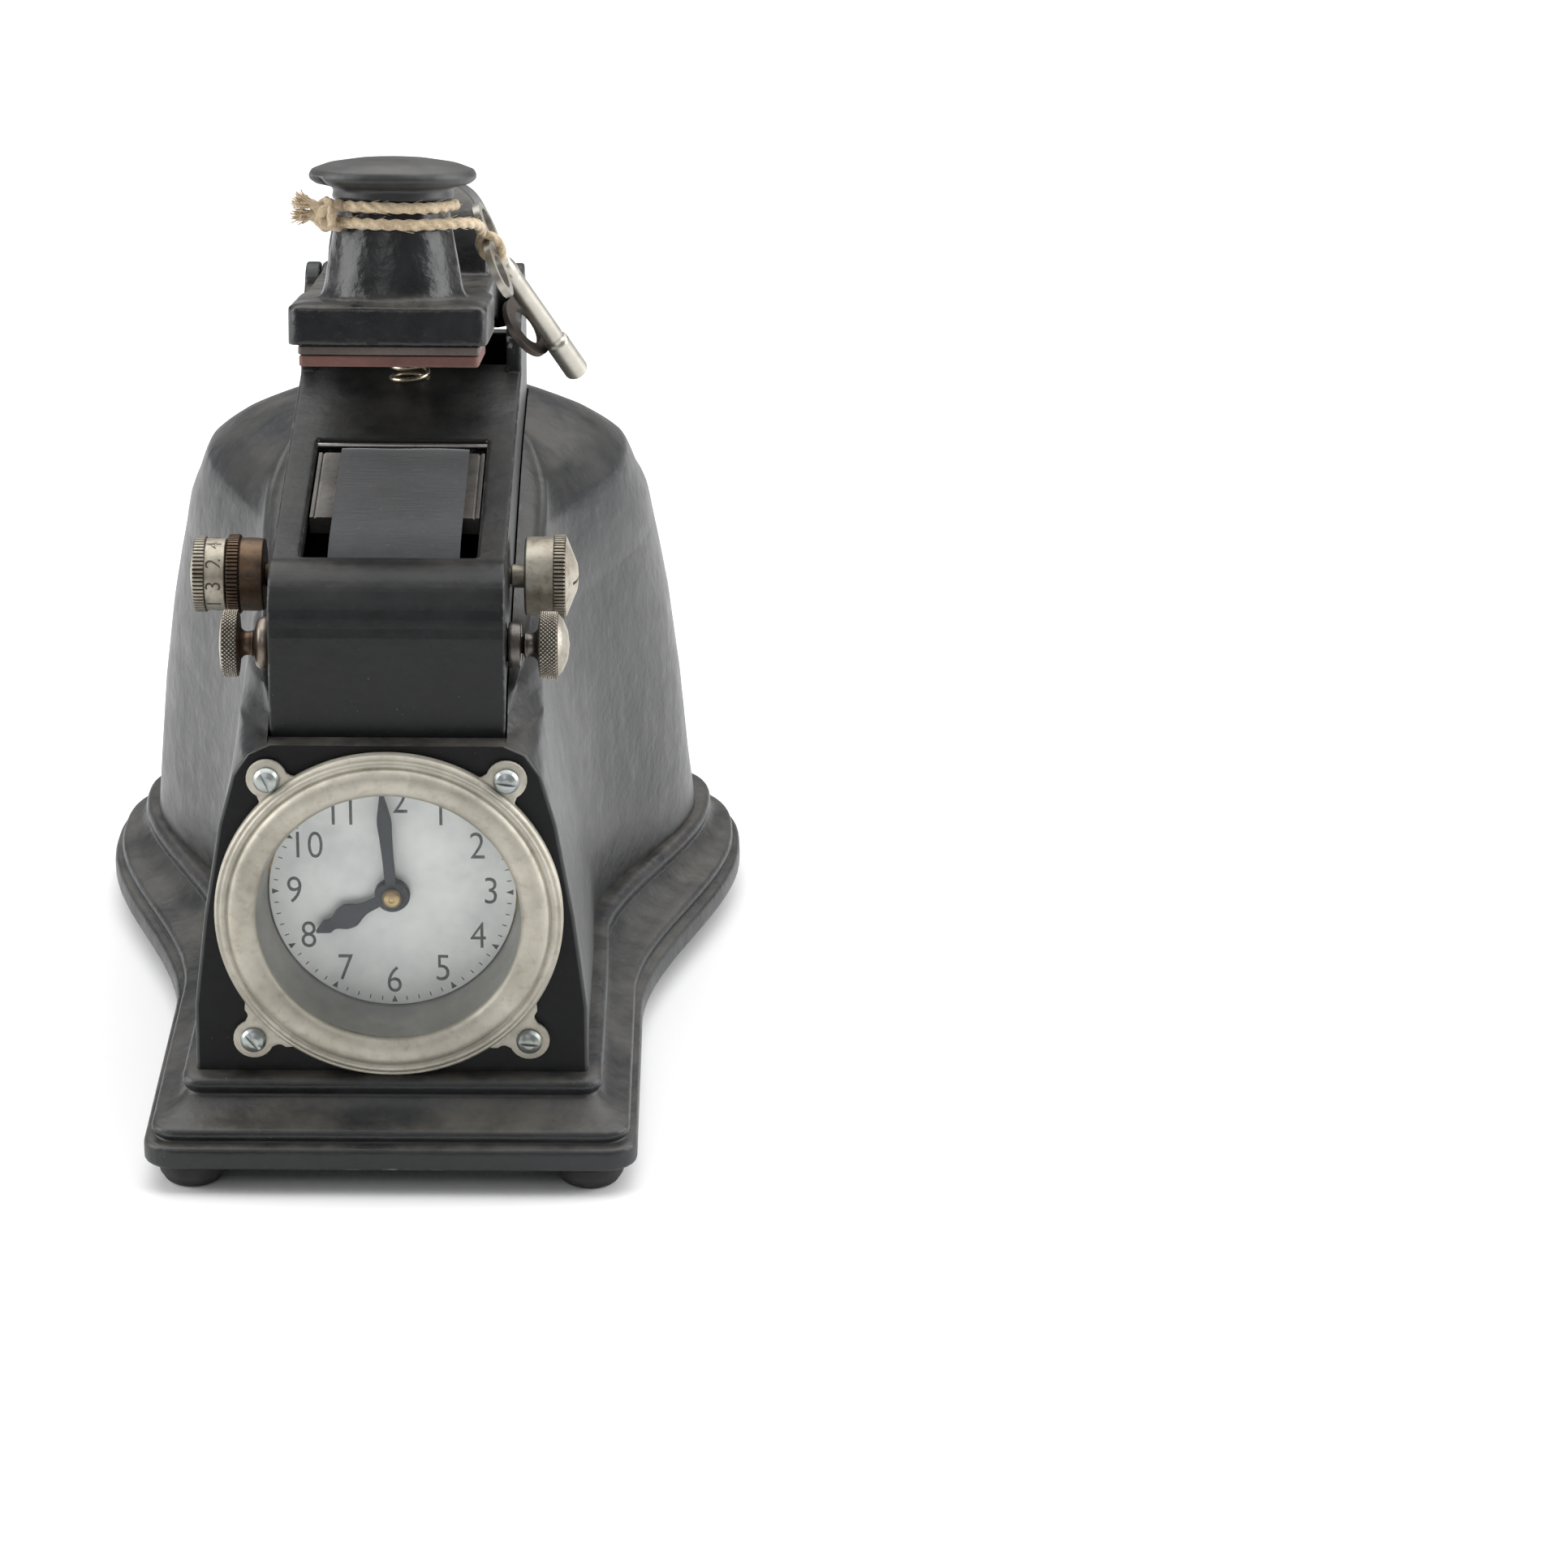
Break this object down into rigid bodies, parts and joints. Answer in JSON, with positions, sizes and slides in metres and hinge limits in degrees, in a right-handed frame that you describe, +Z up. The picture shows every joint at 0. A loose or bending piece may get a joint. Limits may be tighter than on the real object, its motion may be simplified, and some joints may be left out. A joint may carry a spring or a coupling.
{
  "type": "punch time clock",
  "caption": "Cast-iron desk time stamp: clock in a tapered tower, bell-shaped rear housing, inked-ribbon type head and a hand-struck arm with a mushroom knob and a key tied on with twine",
  "frame": {"origin": "middle of the bounding box on the ground plane, under the feet", "axes": "+X to the right of the dial, +Y to the back, so the dial faces -Y, +Z up"},
  "size_m": [0.1764, 0.2454, 0.2393],
  "materials": {
    "casting": "worn semi-matt black paint on cast iron",
    "head_paint": "satin black paint",
    "steel_sheet": "black painted sheet",
    "foot_rubber": "matt",
    "bezel_nickel": "tarnished nickel",
    "screw_steel": "dull steel",
    "lock_nickel": "worn nickel",
    "glass": "clear",
    "surround_tin": "satin grey",
    "dial_face": "silvered, aged",
    "blued_steel": "blued",
    "nut_brass": "polished",
    "movement_brass": "satin",
    "arbor_steel": "turned",
    "type_steel": "inked steel",
    "knob_nickel": "tarnished nickel",
    "knob_brass": "aged brass",
    "feed_knob": "blackened, worn",
    "bushing": "worn nickel",
    "spool_steel": "black",
    "ribbon_cloth": "inked cotton",
    "knob_black": "worn black",
    "platen_steel": "dull",
    "platen_rubber": "aged red",
    "spring_brass": "drawn wire",
    "twine": "jute",
    "key_nickel": "worn nickel plate",
    "ring_steel": "dark oxidised"
  },
  "bodies": {
    "base": {"housing": "casting", "bottom_plate": "steel_sheet", "foot_front_left": "foot_rubber", "foot_front_right": "foot_rubber", "foot_rear_left": "foot_rubber", "foot_rear_right": "foot_rubber", "rear_door_hinge_pin": "screw_steel", "clock_bezel": "bezel_nickel", "bezel_screw_top_left": "screw_steel", "bezel_screw_top_right": "screw_steel", "bezel_screw_bottom_left": "screw_steel", "bezel_screw_bottom_right": "screw_steel", "clock_glass": "glass", "dial_surround": "surround_tin", "dial": "dial_face", "movement_front_plate": "movement_brass", "movement_back_plate": "movement_brass", "type_head": "head_paint", "type_block": "type_steel", "ribbon": "ribbon_cloth", "ribbon_wire": "type_steel", "ribbon_bushing_left": "bushing", "ribbon_bushing_right": "bushing", "arm_pivot_pin": "screw_steel", "return_spring": "spring_brass"},
    "arm": {"striking_arm": "casting", "arm_knob": "knob_black", "platen_plate": "platen_steel", "platen_pad": "platen_rubber", "twine_loops": "twine", "twine_knot": "twine", "twine_tie": "twine", "winding_key": "key_nickel", "key_ring": "ring_steel"},
    "minute_arbor": {"minute_hand": "blued_steel", "hand_nut": "nut_brass", "center_arbor": "arbor_steel", "center_wheel": "movement_brass"},
    "hour_tube": {"hour_hand": "blued_steel"},
    "third": {"third_wheel": "movement_brass"},
    "escape": {"escape_wheel": "movement_brass"},
    "barrel": {"mainspring_barrel": "movement_brass"},
    "balance": {"balance_wheel": "movement_brass"},
    "winder": {"winding_arbor": "arbor_steel"},
    "drive_shaft": {"type_drive_shaft": "arbor_steel"},
    "minute_type": {"time_type_arbor": "arbor_steel", "minute_type_wheel": "type_steel"},
    "hour_type": {"hour_type_wheel": "type_steel"},
    "day_units": {"day_units_knob": "knob_nickel", "day_units_type_wheel": "type_steel"},
    "day_tens": {"day_tens_knob": "knob_brass", "day_tens_type_wheel": "type_steel"},
    "month": {"month_knob": "knob_nickel", "month_type_wheel": "type_steel"},
    "ribbon_wind": {"ribbon_spool_front": "spool_steel", "ribbon_knob_left": "feed_knob", "ribbon_knob_right": "feed_knob"},
    "ribbon_supply": {"ribbon_spool_rear": "spool_steel"},
    "door": {"rear_door": "casting"},
    "door_lock": {"rear_door_lock": "lock_nickel"}
  },
  "joints": [
    {"name": "arm_strike", "type": "hinge", "parent": "base", "child": "arm", "pos_m": [0, 0.04225, 0.1805], "axis": [1, 0, 0], "range_deg": [0, 20.6], "stiffness_Nm_per_rad": 1.6, "springref_deg": -28.65, "deforming": ["return_spring"]},
    {"name": "minute_turn", "type": "hinge", "parent": "base", "child": "minute_arbor", "pos_m": [0, -0.09275, 0.067], "axis": [0, 1, 0], "continuous": true},
    {"name": "hour_turn", "type": "hinge", "parent": "base", "child": "hour_tube", "pos_m": [0, -0.09275, 0.067], "axis": [0, 1, 0], "continuous": true},
    {"name": "third_turn", "type": "hinge", "parent": "base", "child": "third", "pos_m": [0.017, -0.07475, 0.079], "axis": [0, 1, 0], "continuous": true},
    {"name": "escape_turn", "type": "hinge", "parent": "base", "child": "escape", "pos_m": [0.0055, -0.07475, 0.0855], "axis": [0, 1, 0], "continuous": true},
    {"name": "barrel_turn", "type": "hinge", "parent": "base", "child": "barrel", "pos_m": [-0.009, -0.07175, 0.047], "axis": [0, 1, 0], "continuous": true},
    {"name": "balance_swing", "type": "hinge", "parent": "base", "child": "balance", "pos_m": [-0.014, -0.06975, 0.086], "axis": [0, 1, 0], "range_deg": [-135, 135], "stiffness_Nm_per_rad": 0.0002},
    {"name": "winding_turn", "type": "hinge", "parent": "base", "child": "winder", "pos_m": [-0.009, 0.01525, 0.047], "axis": [0, 1, 0], "continuous": true},
    {"name": "drive_shaft_turn", "type": "hinge", "parent": "base", "child": "drive_shaft", "pos_m": [0, -0.03875, 0.1], "axis": [0, 0, 1], "continuous": true},
    {"name": "minute_type_turn", "type": "hinge", "parent": "base", "child": "minute_type", "pos_m": [0, -0.03875, 0.1456], "axis": [1, 0, 0], "continuous": true},
    {"name": "hour_type_turn", "type": "hinge", "parent": "base", "child": "hour_type", "pos_m": [-0.009, -0.03875, 0.1456], "axis": [1, 0, 0], "continuous": true},
    {"name": "day_units_turn", "type": "hinge", "parent": "base", "child": "day_units", "pos_m": [-0.045, -0.06275, 0.1399], "axis": [1, 0, 0], "continuous": true},
    {"name": "day_tens_turn", "type": "hinge", "parent": "base", "child": "day_tens", "pos_m": [-0.036, -0.06275, 0.1399], "axis": [1, 0, 0], "continuous": true},
    {"name": "month_turn", "type": "hinge", "parent": "base", "child": "month", "pos_m": [0.04, -0.06275, 0.1399], "axis": [1, 0, 0], "continuous": true},
    {"name": "ribbon_wind_turn", "type": "hinge", "parent": "base", "child": "ribbon_wind", "pos_m": [0, -0.08525, 0.1302], "axis": [1, 0, 0], "continuous": true},
    {"name": "ribbon_supply_turn", "type": "hinge", "parent": "base", "child": "ribbon_supply", "pos_m": [0, -0.00675, 0.1465], "axis": [1, 0, 0], "continuous": true},
    {"name": "door_swing", "type": "hinge", "parent": "base", "child": "door", "pos_m": [-0.0384, 0.10685, 0.07], "axis": [0, 0, 1], "range_deg": [0, 100]},
    {"name": "lock_turn", "type": "hinge", "parent": "door", "child": "door_lock", "pos_m": [0.024, 0.10125, 0.07], "axis": [0, 1, 0], "range_deg": [0, 90]}
  ],
  "couplings": [
    {"joint": "hour_turn", "follows": "minute_turn", "ratio": 0.083333},
    {"joint": "third_turn", "follows": "minute_turn", "ratio": -5.667},
    {"joint": "escape_turn", "follows": "minute_turn", "ratio": 25.6},
    {"joint": "barrel_turn", "follows": "minute_turn", "ratio": -0.2312},
    {"joint": "drive_shaft_turn", "follows": "minute_turn", "ratio": 1},
    {"joint": "minute_type_turn", "follows": "minute_turn", "ratio": -1},
    {"joint": "hour_type_turn", "follows": "minute_turn", "ratio": -0.083333},
    {"joint": "ribbon_supply_turn", "follows": "ribbon_wind_turn", "ratio": 1}
  ]
}
